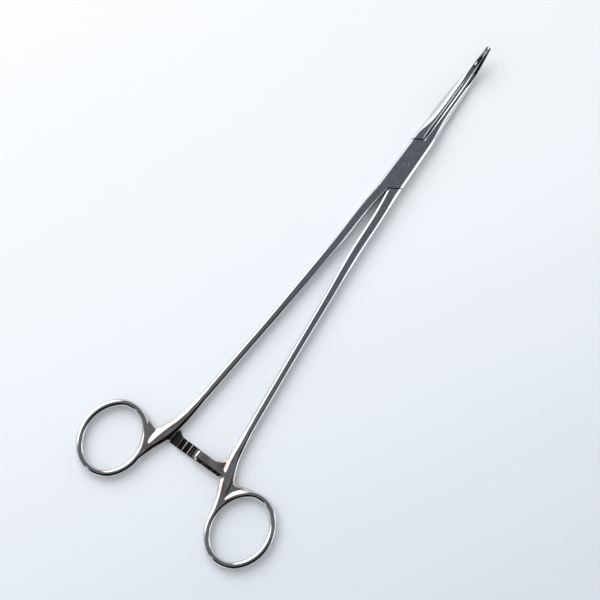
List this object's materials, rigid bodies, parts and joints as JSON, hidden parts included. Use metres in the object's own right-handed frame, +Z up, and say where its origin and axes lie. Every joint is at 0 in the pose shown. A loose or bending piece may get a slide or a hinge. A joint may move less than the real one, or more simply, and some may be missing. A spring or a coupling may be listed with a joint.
{
  "type": "hemostat forceps",
  "caption": "Long locking clamp forceps with curved serrated jaws, a box lock, ratchet arms and two finger rings, for gripping vessels or tissue.",
  "frame": {"origin": "on the rivet's axis, at the flat underside of the box lock", "axes": "+Y from the finger rings to the jaw tips, +Z up along the rivet, the way the tips curve, +X to the right"},
  "size_m": [0.0966, 0.2494, 0.0112],
  "materials": {
    "satin_and_polished_steel": "satin",
    "rivet_steel": "satin"
  },
  "bodies": {
    "female_body": {"female_half": "satin_and_polished_steel", "lock_pin": "rivet_steel"},
    "male_body": {"male_half": "satin_and_polished_steel"}
  },
  "joints": [
    {"name": "box_lock", "type": "hinge", "parent": "female_body", "child": "male_body", "pos_m": [0, 0, 0.0027], "axis": [0, 0, 1], "range_deg": [0, 40]}
  ]
}
